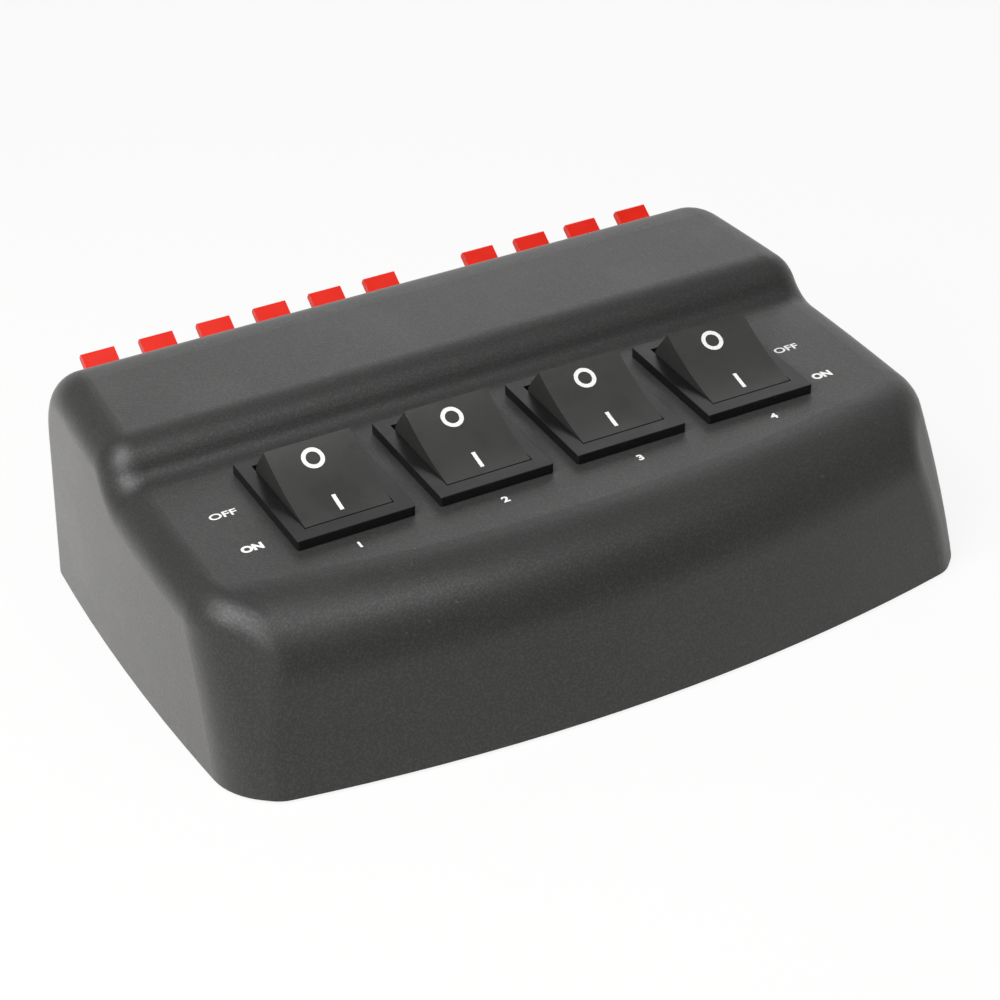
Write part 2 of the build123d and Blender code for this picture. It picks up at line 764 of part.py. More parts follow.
def contact_tabs(group):
    """Each clip's contact strip on its chamber floor, with a pin through the board."""
    with BuildPart() as tabs:
        for x in column_xs(group):
            for row in row_heights:
                floor = rim_lift + row - chamber_below_pivot
                front = front_y + lever_pivot_offset + tab_start
                back = front_y + block_back_offset
                pin_end = front_y + board_offset - pin_stub
                with BuildSketch(Plane.XY.offset(floor)):
                    with Locations((x, (front + back) / 2)):
                        Rectangle(tab_width, front - back)
                    with Locations((x, (back + pin_end) / 2)):
                        Rectangle(pin_width, back - pin_end)
                extrude(amount=tab_thickness)
    return tabs


def leaf_springs(group):
    """Each clip's leaf spring: a foot on the contact strip and an upright with a wire window."""
    with BuildPart() as leaves:
        foot_height = -chamber_below_pivot + tab_thickness
        for x in column_xs(group):
            for row in row_heights:
                with BuildSketch(clip_plane(x, row)):
                    clip_rectangle(-leaf_back - leaf_thickness, -leaf_back, foot_height, -leaf_top)
                    clip_rectangle(
                        -leaf_back - leaf_thickness - leaf_foot,
                        -leaf_back,
                        foot_height,
                        foot_height + leaf_thickness,
                    )
                extrude(amount=tab_width / 2, both=True)
                with BuildSketch(clip_plane(x, row)):
                    middle = -wire_hole_drop
                    clip_rectangle(
                        -leaf_back - 2 * leaf_thickness,
                        -leaf_back + leaf_thickness,
                        middle - leaf_window_height / 2,
                        middle + leaf_window_height / 2,
                    )
                extrude(amount=leaf_window_width / 2, both=True, mode=Mode.SUBTRACT)
    return leaves


for group, name in enumerate(("left", "right")):
    save(clip_block(group), f"clip_block_{name}")
    save(contact_tabs(group), f"contact_tabs_{name}")
    save(leaf_springs(group), f"leaf_springs_{name}")

for number, x in enumerate(column_xs(0) + column_xs(1), start=1):
    save(lever(x, row_heights[0]), f"red_lever_{number}")
    save(lever(x, row_heights[1]), f"black_lever_{number}")

# ---- terminal board and its screws --------------------------------------------------------
with BuildPart() as terminal_board:
    with BuildSketch(Plane.XZ.offset(-(front_y + board_offset))) as board:
        with Locations(((board_left + board_right) / 2, rim_lift + (block_bottom + board_top) / 2)):
            Rectangle(board_right - board_left, board_top - block_bottom)
        fillet(board.vertices(), radius=board_corner)
        for x, height in standoff_places:
            with Locations((x, rim_lift + height)):
                Circle(board_screw_radius + 2 * screw_gap, mode=Mode.SUBTRACT)
        for x in column_xs(0) + column_xs(1):
            for row in row_heights:
                with Locations((x, rim_lift + row - chamber_below_pivot + tab_thickness / 2)):
                    Circle(board_hole_radius, mode=Mode.SUBTRACT)
    extrude(amount=-board_thickness)
save(terminal_board, "terminal_board")

with BuildPart() as board_screws:
    for x, height in standoff_places:
        head = (x, front_y + board_offset, rim_lift + height)
        with BuildSketch(Plane(head, x_dir=(1, 0, 0), z_dir=(0, 0, 1))):
            with BuildLine():
                Polyline(
                    (0, -board_screw_head),
                    (board_screw_head_radius, -board_screw_head),
                    (board_screw_head_radius, 0),
                    (board_screw_radius, 0),
                    (board_screw_radius, board_screw_length),
                    (0, board_screw_length + board_screw_radius),
                    close=True,
                )
            make_face()
        revolve(axis=Axis(head, (0, 1, 0)))
save(board_screws, "board_screws")


# ---- wires --------------------------------------------------------------------------------
def wires(along, depth, height):
    """One wire to each pole of each switch, from the board to the lug's rear face."""
    with BuildPart() as bundle:
        for x in switch_xs:
            for pole in poles:
                end = seat_plane(x + pole, along + lug_thickness / 2, -depth)
                start = Vector(x + pole, front_y + board_offset, rim_lift + height)
                with BuildLine() as route:
                    FilletPolyline(
                        start,
                        start - Vector(0, wire_lead, 0),
                        end.origin + end.y_dir * wire_lead,
                        end.origin,
                        radius=wire_bend,
                    )
                with BuildSketch(Plane(start, z_dir=(0, -1, 0))):
                    Circle(wire_radius)
                sweep(path=route.wires()[0])
    return bundle


save(wires(rocker_shift, common_lug_end - wire_joint, block_middle - feed_wire_drop), "feed_wires")
save(wires(throw_along, throw_lug_end - wire_joint, block_middle - speaker_wire_drop), "speaker_wires")
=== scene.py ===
import bmesh
import bpy
import json
from math import cos, pi, radians, sin, sqrt
from mathutils import Matrix, Vector


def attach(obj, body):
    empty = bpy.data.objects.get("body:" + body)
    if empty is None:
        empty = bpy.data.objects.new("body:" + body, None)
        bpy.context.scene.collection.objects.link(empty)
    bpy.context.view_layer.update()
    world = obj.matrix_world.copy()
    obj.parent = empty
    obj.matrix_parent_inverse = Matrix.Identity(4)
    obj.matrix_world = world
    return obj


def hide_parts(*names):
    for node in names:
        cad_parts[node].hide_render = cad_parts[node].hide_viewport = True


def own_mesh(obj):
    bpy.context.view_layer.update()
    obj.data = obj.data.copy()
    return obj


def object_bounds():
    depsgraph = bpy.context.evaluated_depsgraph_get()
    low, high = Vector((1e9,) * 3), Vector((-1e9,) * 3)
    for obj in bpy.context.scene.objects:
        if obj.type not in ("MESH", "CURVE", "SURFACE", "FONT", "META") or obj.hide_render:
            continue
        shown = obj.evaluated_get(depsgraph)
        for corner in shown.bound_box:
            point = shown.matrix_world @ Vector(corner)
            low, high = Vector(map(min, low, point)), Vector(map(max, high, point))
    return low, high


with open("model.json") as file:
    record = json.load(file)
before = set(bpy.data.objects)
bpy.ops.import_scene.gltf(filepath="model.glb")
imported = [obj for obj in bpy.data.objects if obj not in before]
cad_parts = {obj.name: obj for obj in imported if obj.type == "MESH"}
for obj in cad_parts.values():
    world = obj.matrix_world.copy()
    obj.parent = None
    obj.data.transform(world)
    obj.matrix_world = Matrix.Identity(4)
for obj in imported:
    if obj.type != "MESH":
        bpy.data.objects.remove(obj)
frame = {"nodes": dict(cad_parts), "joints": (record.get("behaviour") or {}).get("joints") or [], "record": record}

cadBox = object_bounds()
nodes = frame["nodes"]
joints = {joint["name"]: joint for joint in frame["joints"]}
print("frame loaded:", len(nodes), "nodes")

collection = bpy.context.scene.collection  # all lengths are in metres


# places a shader group in a material, with its own values
def groupNode(tree, group, **inputs):
    node = tree.nodes.new("ShaderNodeGroup")
    node.node_tree = group
    for name, value in inputs.items():
        node.inputs[name].default_value = value
    return node


def newGroup(name, inputs, outputs):
    group = bpy.data.node_groups.new(name, "ShaderNodeTree")
    for socketName, value in inputs.items():
        socket = group.interface.new_socket(
            name=socketName, in_out="INPUT", socket_type="NodeSocketFloat"
        )
        socket.default_value = value
    for socketName in outputs:
        group.interface.new_socket(
            name=socketName, in_out="OUTPUT", socket_type="NodeSocketFloat"
        )
    enter = group.nodes.new("NodeGroupInput")
    leave = group.nodes.new("NodeGroupOutput")
    return group, enter, leave


def noise(tree, coordinates, scale, detail=2.0, roughness=0.5):
    node = tree.nodes.new("ShaderNodeTexNoise")
    node.inputs["Detail"].default_value = detail
    node.inputs["Roughness"].default_value = roughness
    tree.links.new(coordinates, node.inputs["Vector"])
    if isinstance(scale, (int, float)):
        node.inputs["Scale"].default_value = scale
    else:
        tree.links.new(scale, node.inputs["Scale"])
    return node.outputs["Fac"]


def maths(tree, operation, first, second=None, clamp=False):
    node = tree.nodes.new("ShaderNodeMath")
    node.operation = operation
    node.use_clamp = clamp
    for socket, value in zip(node.inputs, (first, second)):
        if value is None:
            continue
        if isinstance(value, (int, float)):
            socket.default_value = value
        else:
            tree.links.new(value, socket)
    return node.outputs[0]


# a smooth step: what lies between low and high is spread from toLow to toHigh
def spread(tree, value, low, high, toLow=0.0, toHigh=1.0):
    node = tree.nodes.new("ShaderNodeMapRange")
    node.interpolation_type = "SMOOTHSTEP"
    tree.links.new(value, node.inputs["Value"])
    limits = {"From Min": low, "From Max": high, "To Min": toLow, "To Max": toHigh}
    for name, number in limits.items():
        node.inputs[name].default_value = number
    return node.outputs["Result"]


grainGroupLook = {
    "pebbleShare": 0.6,           # how much the pebbles count beside the fine noise
    "fineScale": 1.7,             # fine noise and glints, as shares of the grain's own scale
    "glintScale": 0.9,
    "mottleRange": (0.3, 0.7),
    "glintRange": (0.42, 0.68),
}


# moulded grain: Height is the fine pebbled tool texture, Mottle a slow change of tone,
# and Glints the grain's tips, which get a lower roughness and, on the case, painted glints in the colour
def makeGrainGroup():
    look = grainGroupLook
    group, enter, leave = newGroup(
        "mouldedGrain", {"Grains": 2200.0, "Patches": 28.0}, ("Height", "Mottle", "Glints")
    )
    place = group.nodes.new("ShaderNodeTexCoord").outputs["Object"]
    pebbles = group.nodes.new("ShaderNodeTexVoronoi")
    pebbles.feature = "SMOOTH_F1"
    group.links.new(place, pebbles.inputs["Vector"])
    group.links.new(enter.outputs["Grains"], pebbles.inputs["Scale"])
    fineScale = maths(group, "MULTIPLY", enter.outputs["Grains"], look["fineScale"])
    fine = noise(group, place, fineScale)
    rounded = maths(group, "MULTIPLY", pebbles.outputs["Distance"], look["pebbleShare"])
    group.links.new(maths(group, "ADD", rounded, fine), leave.inputs["Height"])
    slow = noise(group, place, enter.outputs["Patches"], detail=4.0, roughness=0.6)
    group.links.new(spread(group, slow, *look["mottleRange"]), leave.inputs["Mottle"])
    glintScale = maths(group, "MULTIPLY", enter.outputs["Grains"], look["glintScale"])
    glints = noise(group, place, glintScale, detail=1.0)
    group.links.new(spread(group, glints, *look["glintRange"]), leave.inputs["Glints"])
    return group


handlingGroupLook = {
    "smudgeRange": (0.42, 0.68),
    "speckRange": (0.68, 0.78),
    "settledScale": 35.0,         # the patches in which dust has settled
    "settledRange": (0.4, 0.7),
}


# handling: Smudge is where fingers have polished the surface, Dust the specks on it
def makeHandlingGroup():
    look = handlingGroupLook
    group, enter, leave = newGroup(
        "handling", {"Smudges": 45.0, "Specks": 900.0}, ("Smudge", "Dust")
    )
    place = group.nodes.new("ShaderNodeTexCoord").outputs["Object"]
    rubbed = noise(group, place, enter.outputs["Smudges"], detail=5.0, roughness=0.65)
    group.links.new(spread(group, rubbed, *look["smudgeRange"]), leave.inputs["Smudge"])
    specks = spread(group, noise(group, place, enter.outputs["Specks"]), *look["speckRange"])
    settled = spread(group, noise(group, place, look["settledScale"]), *look["settledRange"])
    group.links.new(maths(group, "MULTIPLY", specks, settled), leave.inputs["Dust"])
    return group


metalGroupLook = {
    "stretch": (0.08, 1.0, 1.0),  # draws the streaks out along X
    "tarnishRange": (0.35, 0.7),
}


# drawn metal: Streak runs along X, Tarnish is a slow darkening
def makeMetalGroup():
    look = metalGroupLook
    group, enter, leave = newGroup(
        "drawnMetal", {"Streaks": 900.0, "Patches": 160.0}, ("Streak", "Tarnish")
    )
    place = group.nodes.new("ShaderNodeTexCoord").outputs["Object"]
    along = group.nodes.new("ShaderNodeMapping")
    along.inputs["Scale"].default_value = look["stretch"]
    group.links.new(place, along.inputs["Vector"])
    streak = noise(group, along.outputs["Vector"], enter.outputs["Streaks"], detail=3.0)
    group.links.new(streak, leave.inputs["Streak"])
    tarnish = noise(group, place, enter.outputs["Patches"], detail=3.0, roughness=0.6)
    group.links.new(spread(group, tarnish, *look["tarnishRange"]), leave.inputs["Tarnish"])
    return group


grainGroup = makeGrainGroup()
handlingGroup = makeHandlingGroup()
metalGroup = makeMetalGroup()
print("shader groups made")


def startMaterial(name):
    material = bpy.data.materials.new(name)
    material.use_nodes = True
    shader = material.node_tree.nodes["Principled BSDF"]
    return material, material.node_tree, shader


def colourMix(tree, factor, first, second):
    node = tree.nodes.new("ShaderNodeMixRGB")
    tree.links.new(factor, node.inputs["Fac"])
    for socket, value in ((node.inputs["Color1"], first), (node.inputs["Color2"], second)):
        if isinstance(value, tuple):
            socket.default_value = (*value, 1.0)
        else:
            tree.links.new(value, socket)
    return node.outputs["Color"]


def addBump(tree, shader, height, strength, distance):
    bump = tree.nodes.new("ShaderNodeBump")
    bump.inputs["Strength"].default_value = strength
    bump.inputs["Distance"].default_value = distance
    tree.links.new(height, bump.inputs["Height"])
    tree.links.new(bump.outputs["Normal"], shader.inputs["Normal"])


dustColour = (0.42, 0.40, 0.37)
paintedGlintColour = (0.030, 0.030, 0.028)  # painted glints: a lighter colour for the grain's tips, standing in for their sparkle


def makePlastic(name, look):
    material, tree, shader = startMaterial(name)
    grain = groupNode(tree, grainGroup, Grains=look["grains"], Patches=look["patches"])
    handling = groupNode(tree, handlingGroup, Smudges=look["smudges"], Specks=look["specks"])
    body = colourMix(tree, grain.outputs["Mottle"], look["colour"], look["tone"])
    # painted glints: on the case the grain's tips are lightened in the colour, standing in for their sparkle
    if "paintedGlints" in look:
        paintedGlintMask = maths(tree, "MULTIPLY", grain.outputs["Glints"], look["paintedGlints"])
        body = colourMix(tree, paintedGlintMask, body, paintedGlintColour)
    dust = maths(tree, "MULTIPLY", handling.outputs["Dust"], look["dust"])
    tree.links.new(colourMix(tree, dust, body, dustColour), shader.inputs["Base Color"])
    smudge = handling.outputs["Smudge"]
    rough = spread(tree, smudge, 0.0, 1.0, look["roughness"], look["polished"])
    glinting = maths(tree, "MULTIPLY", grain.outputs["Glints"], -look["glints"])
    tree.links.new(maths(tree, "ADD", rough, glinting, clamp=True), shader.inputs["Roughness"])
    shader.inputs["Specular IOR Level"].default_value = look["specular"]
    shader.inputs["Sheen Weight"].default_value = look.get("sheen", 0.0)
    addBump(tree, shader, grain.outputs["Height"], look["bump"], look["depth"])
    return material


def makeMetal(name, look):
    material, tree, shader = startMaterial(name)
    metal = groupNode(tree, metalGroup, Streaks=look["streaks"], Patches=look["patches"])
    colour = colourMix(tree, metal.outputs["Tarnish"], look["colour"], look["tone"])
    tree.links.new(colour, shader.inputs["Base Color"])
    shader.inputs["Metallic"].default_value = 1.0
    rough = spread(tree, metal.outputs["Tarnish"], 0.0, 1.0, look["roughness"], look["dull"])
    tree.links.new(rough, shader.inputs["Roughness"])
    addBump(tree, shader, metal.outputs["Streak"], look["bump"], look["depth"])
    return material


# phenolic board: paper fibres along X under a brown resin
def makeLaminate(name, look):
    material, tree, shader = startMaterial(name)
    fibres = groupNode(tree, metalGroup, Streaks=look["fibres"], Patches=look["patches"])
    resin = colourMix(tree, fibres.outputs["Streak"], look["colour"], look["tone"])
    colour = colourMix(tree, fibres.outputs["Tarnish"], resin, look["dark"])
    tree.links.new(colour, shader.inputs["Base Color"])
    shader.inputs["Roughness"].default_value = look["roughness"]
    addBump(tree, shader, fibres.outputs["Streak"], look["bump"], look["depth"])
    return material


# screen-printed ink: white, slightly thin in places
def makeInk(name, look):
    material, tree, shader = startMaterial(name)
    place = tree.nodes.new("ShaderNodeTexCoord").outputs["Object"]
    uneven = noise(tree, place, look["patches"], detail=3.0)
    thin = spread(tree, uneven, *look["thinRange"])
    tree.links.new(colourMix(tree, thin, look["colour"], look["tone"]), shader.inputs["Base Color"])
    shader.inputs["Roughness"].default_value = look["roughness"]
    addBump(tree, shader, thin, look["bump"], look["depth"])
    return material


# colour turns to tone in slow patches, and roughness to polished where hands have rubbed;
# grains, patches, smudges and specks are scales of texture, larger where it is finer
plasticLooks = {
    "case_plastic": {
        "colour": (0.005, 0.005, 0.0046), "tone": (0.007, 0.007, 0.0064),
        # the case's colour also gets painted glints, lighter grain tips standing in for their sparkle
        "roughness": 0.48, "polished": 0.44, "specular": 0.53, "sheen": 0.28, "paintedGlints": 0.5,
        "grains": 2400.0, "patches": 26.0, "smudges": 40.0, "specks": 1400.0,
        "dust": 0.12, "glints": 0.05, "bump": 0.6, "depth": 0.00004,
    },
    "base_plastic": {
        "colour": (0.036, 0.036, 0.036), "tone": (0.045, 0.045, 0.045),
        "roughness": 0.55, "polished": 0.48, "specular": 0.45,
        "grains": 1500.0, "patches": 22.0, "smudges": 30.0, "specks": 1200.0,
        "dust": 0.35, "glints": 0.05, "bump": 0.5, "depth": 0.0001,
    },
    "foot_rubber": {
        "colour": (0.020, 0.020, 0.021), "tone": (0.032, 0.031, 0.030),
        "roughness": 0.85, "polished": 0.7, "specular": 0.3,
        "grains": 3200.0, "patches": 120.0, "smudges": 90.0, "specks": 1600.0,
        "dust": 0.5, "glints": 0.0, "bump": 0.35, "depth": 0.00006,
    },
    "switch_plastic": {
        "colour": (0.006, 0.006, 0.006), "tone": (0.008, 0.008, 0.008),
        "roughness": 0.36, "polished": 0.30, "specular": 0.3,
        "grains": 4200.0, "patches": 60.0, "smudges": 90.0, "specks": 1800.0,
        "dust": 0.15, "glints": 0.04, "bump": 0.2, "depth": 0.00004,
    },
    "rocker_plastic": {
        "colour": (0.028, 0.028, 0.027), "tone": (0.032, 0.032, 0.031),
        "roughness": 0.38, "polished": 0.30, "specular": 0.55,
        "grains": 4600.0, "patches": 70.0, "smudges": 110.0, "specks": 1800.0,
        "dust": 0.15, "glints": 0.03, "bump": 0.16, "depth": 0.00003,
    },
    "plunger_nylon": {
        "colour": (0.74, 0.71, 0.62), "tone": (0.66, 0.62, 0.52),
        "roughness": 0.5, "polished": 0.38, "specular": 0.5,
        "grains": 3600.0, "patches": 240.0, "smudges": 160.0, "specks": 1400.0,
        "dust": 0.1, "glints": 0.0, "bump": 0.2, "depth": 0.00004,
    },
    "block_plastic": {
        "colour": (0.016, 0.016, 0.017), "tone": (0.022, 0.022, 0.022),
        "roughness": 0.33, "polished": 0.24, "specular": 0.5,
        "grains": 3800.0, "patches": 80.0, "smudges": 70.0, "specks": 1500.0,
        "dust": 0.3, "glints": 0.0, "bump": 0.14, "depth": 0.00004,
    },
    "red_plastic": {
        "colour": (0.70, 0.017, 0.005), "tone": (0.65, 0.013, 0.004),
        "roughness": 0.36, "polished": 0.28, "specular": 0.3,
        "grains": 4200.0, "patches": 130.0, "smudges": 140.0, "specks": 1500.0,
        "dust": 0.08, "glints": 0.0, "bump": 0.12, "depth": 0.00003,
    },
    "black_plastic": {
        "colour": (0.014, 0.014, 0.015), "tone": (0.020, 0.020, 0.020),
        "roughness": 0.34, "polished": 0.26, "specular": 0.5,
        "grains": 4200.0, "patches": 130.0, "smudges": 140.0, "specks": 1500.0,
        "dust": 0.2, "glints": 0.0, "bump": 0.12, "depth": 0.00003,
    },
    "feed_insulation": {
        "colour": (0.52, 0.022, 0.016), "tone": (0.44, 0.016, 0.012),
        "roughness": 0.38, "polished": 0.3, "specular": 0.5,
        "grains": 3000.0, "patches": 110.0, "smudges": 120.0, "specks": 1400.0,
        "dust": 0.15, "glints": 0.0, "bump": 0.1, "depth": 0.00003,
    },
    "speaker_insulation": {
        "colour": (0.020, 0.020, 0.021), "tone": (0.028, 0.028, 0.028),
        "roughness": 0.38, "polished": 0.3, "specular": 0.5,
        "grains": 3000.0, "patches": 110.0, "smudges": 120.0, "specks": 1400.0,
        "dust": 0.2, "glints": 0.0, "bump": 0.1, "depth": 0.00003,
    },
}
metalLooks = {
    "screw_steel": {
        "colour": (0.62, 0.62, 0.60), "tone": (0.48, 0.47, 0.43), "roughness": 0.3, "dull": 0.48,
        "streaks": 2400.0, "patches": 420.0, "bump": 0.25, "depth": 0.00003,
    },
    "spring_steel": {
        "colour": (0.58, 0.58, 0.57), "tone": (0.46, 0.45, 0.43), "roughness": 0.26, "dull": 0.4,
        "streaks": 3000.0, "patches": 300.0, "bump": 0.2, "depth": 0.00002,
    },
    "contact_brass": {
        "colour": (0.80, 0.62, 0.30), "tone": (0.62, 0.44, 0.20), "roughness": 0.28, "dull": 0.46,
        "streaks": 2200.0, "patches": 260.0, "bump": 0.2, "depth": 0.00003,
    },
}
boardLook = {
    "colour": (0.30, 0.16, 0.055), "tone": (0.36, 0.20, 0.075), "dark": (0.22, 0.11, 0.04),
    "fibres": 1500.0, "patches": 90.0, "roughness": 0.42, "bump": 0.3, "depth": 0.00003,
}
inkLook = {
    "colour": (0.80, 0.80, 0.79), "tone": (0.66, 0.66, 0.65), "patches": 2600.0,
    "thinRange": (0.35, 0.75), "roughness": 0.45, "bump": 0.15, "depth": 0.00002,
}

finishes = {slot: makePlastic(slot, look) for slot, look in plasticLooks.items()}
finishes.update({slot: makeMetal(slot, look) for slot, look in metalLooks.items()})
finishes["board_laminate"] = makeLaminate("board_laminate", boardLook)
printedInk = makeInk("printedInk", inkLook)

slotOfNode = {entry["node"]: entry["material_slot"] for entry in frame["record"]["subparts"]}
for nodeName, piece in nodes.items():
    for slotIndex in range(len(piece.material_slots)):
        piece.material_slots[slotIndex].material = finishes[slotOfNode[nodeName]]
print("finishes put on the nodes")


def finishPiece(mesh, name, material, body):
    piece = bpy.data.objects.new(name, mesh)
    collection.objects.link(piece)
    mesh.materials.clear()
    mesh.materials.append(material)
    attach(piece, body)
    return piece


panel = {
    "slope": radians(6),
    "pivotDepth": 0.00242,        # the rocker pivots lie this far under the panel's face
    "pivotShift": 0.00035,        # and this far up the slope from the switch's middle
    "inkThickness": 0.00004,
}


# frames whose X runs right, Y up the slope and Z out of the surface, at a switch's pivot
def slopeFrame(pivot, angle):
    return Matrix.Translation(pivot) @ Matrix.Rotation(angle, 4, "X")


def switchPivot(number):
    return Vector(joints[f"rocker_{number}_tilt"]["pos_m"])


rockerShape = {
    "tilt": radians(20),
    "radius": 0.013,              # from the pivot to the ends of the face
    "halfAngle": radians(49.2),   # half of what the face spans round the pivot
    "dish": 0.001,
}


# the rocker's face is an arc, deepest in its middle
def dishHeight(along):
    halfChord = rockerShape["radius"] * sin(rockerShape["halfAngle"])
    arcRadius = (halfChord**2 + rockerShape["dish"] ** 2) / (2 * rockerShape["dish"])
    middle = rockerShape["radius"] * cos(rockerShape["halfAngle"]) - rockerShape["dish"]
    return middle + arcRadius - sqrt(arcRadius**2 - along**2)


rockerMarks = {
    "shift": -0.0005,
    "ringPlace": 0.0057,
    "ringOuter": 0.0024,
    "ringInner": 0.0015,
    "ringSteps": 64,
    "barPlace": -0.0059,
    "barLength": 0.0043,
    "barWidth": 0.00085,
    "barSteps": 8,                # so that the bar can follow the dish
}


# the ring and the bar printed on a rocker
def makeRockerMarks(number):
    marks = rockerMarks
    form = bmesh.new()
    bmesh.ops.create_circle(
        form, cap_ends=False, radius=marks["ringOuter"], segments=marks["ringSteps"]
    )
    rim = bmesh.ops.extrude_edge_only(form, edges=form.edges[:])["geom"]
    inner = [item for item in rim if isinstance(item, bmesh.types.BMVert)]
    narrowing = marks["ringInner"] / marks["ringOuter"]
    bmesh.ops.scale(form, vec=(narrowing, narrowing, 1), verts=inner)
    bmesh.ops.translate(form, vec=(marks["shift"], marks["ringPlace"], 0), verts=form.verts[:])
    steps = marks["barSteps"]
    bar = bmesh.ops.create_grid(form, x_segments=1, y_segments=steps, size=0.5)["verts"]
    bmesh.ops.scale(form, vec=(marks["barWidth"], marks["barLength"], 1), verts=bar)
    bmesh.ops.translate(form, vec=(marks["shift"], marks["barPlace"], 0), verts=bar)
    bmesh.ops.recalc_face_normals(form, faces=form.faces[:])
    if form.faces[0].normal.z < 0:
        bmesh.ops.reverse_faces(form, faces=form.faces[:])
    for vertex in form.verts:
        vertex.co.z = dishHeight(vertex.co.y) + panel["inkThickness"]
    place = slopeFrame(switchPivot(number), panel["slope"] + rockerShape["tilt"])
    bmesh.ops.transform(form, matrix=place, verts=form.verts[:])
    name = f"rockerMarks{number}"
    mesh = bpy.data.meshes.new(name)
    form.to_mesh(mesh)
    form.free()
    return finishPiece(mesh, name, printedInk, f"rocker_{number}")


# words, place to the right, place up the slope, cap height, weight, stretch
panelLabels = [
    ("OFF", -0.0668, 0.0028, 0.0019, 0.00006, 1.22),
    ("ON", -0.0663, -0.0102, 0.0019, 0.00016, 1.04),
    ("OFF", 0.0643, 0.0020, 0.0019, 0.00006, 1.22),
    ("ON", 0.0650, -0.0106, 0.0019, 0.00016, 1.04),
    ("1", -0.0477, -0.0192, 0.00175, 0.0001, 1.15),
    ("2", -0.0158, -0.0192, 0.00175, 0.0001, 1.15),
    ("3", 0.0152, -0.0192, 0.00175, 0.0001, 1.15),
    ("4", 0.0473, -0.0192, 0.00175, 0.0001, 1.15),
]
printing = {
    "capShare": 0.69,             # a capital's height as a share of the font's size
    "curveSteps": 6,
}


def makeLabel(name, words, right, along, height, weight, stretch):
    text = bpy.data.curves.new(name, "FONT")
    text.body = words
    text.size = height / printing["capShare"]
    text.align_x = "CENTER"
    text.align_y = "CENTER"
    text.offset = weight
    text.resolution_u = printing["curveSteps"]
    holder = bpy.data.objects.new(name + "Text", text)
    collection.objects.link(holder)
    depsgraph = bpy.context.evaluated_depsgraph_get()
    mesh = bpy.data.meshes.new_from_object(holder.evaluated_get(depsgraph))
    bpy.data.objects.remove(holder)
    mesh.name = name
    pivot = switchPivot(1)
    place = slopeFrame(Vector((0, pivot.y, pivot.z)), panel["slope"])
    lift = panel["pivotDepth"] + panel["inkThickness"]
    place = place @ Matrix.Translation((right, along - panel["pivotShift"], lift))
    mesh.transform(place @ Matrix.Diagonal((stretch, 1, 1, 1)))
    return finishPiece(mesh, name, printedInk, "case")


for number in range(1, 5):
    makeRockerMarks(number)
for index, line in enumerate(panelLabels, start=1):
    makeLabel(f"label{index}", *line)
print("marks printed")

# a clip's leaf spring, measured inwards and down from its lever's pivot
leafSpring = {
    "width": 0.006,
    "thickness": 0.0004,
    "back": 0.0021,
    "top": 0.0027,
    "bottom": 0.0081,
    "footLength": 0.003,
    "windowWidth": 0.0034,
    "windowTop": 0.0041,
    "windowBottom": 0.0073,
    "leanAngle": radians(50),     # a pressed spring leans back along a line this far from upright, keeping this share of its reach with its lever fully pressed
    "leanKeep": 0.3,              # to this share of its reach, with its lever fully pressed
}


def leverPivot(number, row):
    return Vector(joints[f"{row}_lever_{number}_press"]["pos_m"])


# the upright strip with its window, set back from its lever's pivot
def makeUpright(number, row):
    leaf = leafSpring
    pivot = leverPivot(number, row)
    form = bmesh.new()
    bmesh.ops.create_grid(form, x_segments=3, y_segments=3, size=0.5)
    half, halfWindow = leaf["width"] / 2, leaf["windowWidth"] / 2
    columns = (-half, -halfWindow, halfWindow, half)
    heights = (-leaf["bottom"], -leaf["windowBottom"], -leaf["windowTop"], -leaf["top"])
    # the grid's lines, counted from 0 to 3, go to the edges of the strip and of its window
    for vertex in form.verts:
        column = round((vertex.co.x + 0.5) * 3)
        level = round((vertex.co.y + 0.5) * 3)
        vertex.co = (columns[column], -leaf["back"], heights[level])
    middle = Vector((0, -(leaf["windowTop"] + leaf["windowBottom"]) / 2))
    window = min(form.faces, key=lambda face: (face.calc_center_median().xz - middle).length)
    bmesh.ops.delete(form, geom=[window], context="FACES_ONLY")
    grown = bmesh.ops.extrude_face_region(form, geom=form.faces[:])["geom"]
    moved = [item for item in grown if isinstance(item, bmesh.types.BMVert)]
    bmesh.ops.translate(form, vec=(0, -leaf["thickness"], 0), verts=moved)
    bmesh.ops.recalc_face_normals(form, faces=form.faces[:])
    bmesh.ops.translate(form, vec=pivot, verts=form.verts[:])
    name = f"{row}Leaf{number}"
    mesh = bpy.data.meshes.new(name)
    form.to_mesh(mesh)
    form.free()
    upright = finishPiece(mesh, name, finishes["spring_steel"], "case")
    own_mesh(upright)


# the feet lie on the contact tabs, and each upright stands up from its foot
def makeLeafFeet(side, numbers):
    leaf = leafSpring
    form = bmesh.new()
    for number in numbers:
        for row in ("red", "black"):
            foot = bmesh.ops.create_cube(form, size=1)["verts"]
            size = (leaf["width"], leaf["footLength"], leaf["thickness"])
            bmesh.ops.scale(form, vec=size, verts=foot)
            inwards = leaf["back"] + leaf["thickness"] + leaf["footLength"] / 2
            middle = Vector((0, -inwards, leaf["thickness"] / 2 - leaf["bottom"]))
            bmesh.ops.translate(form, vec=leverPivot(number, row) + middle, verts=foot)
    mesh = bpy.data.meshes.new(f"{side}LeafFeet")
    form.to_mesh(mesh)
    form.free()
    feet = finishPiece(mesh, f"{side}LeafFeet", finishes["spring_steel"], "case")
    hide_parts(f"leaf_springs_{side}")


# six columns of clips stand on the left and four on the right
for side, numbers in (("left", range(1, 7)), ("right", range(7, 11))):
    makeLeafFeet(side, numbers)
    for number in numbers:
        makeUpright(number, "red")
        makeUpright(number, "black")
print("leaf springs made")

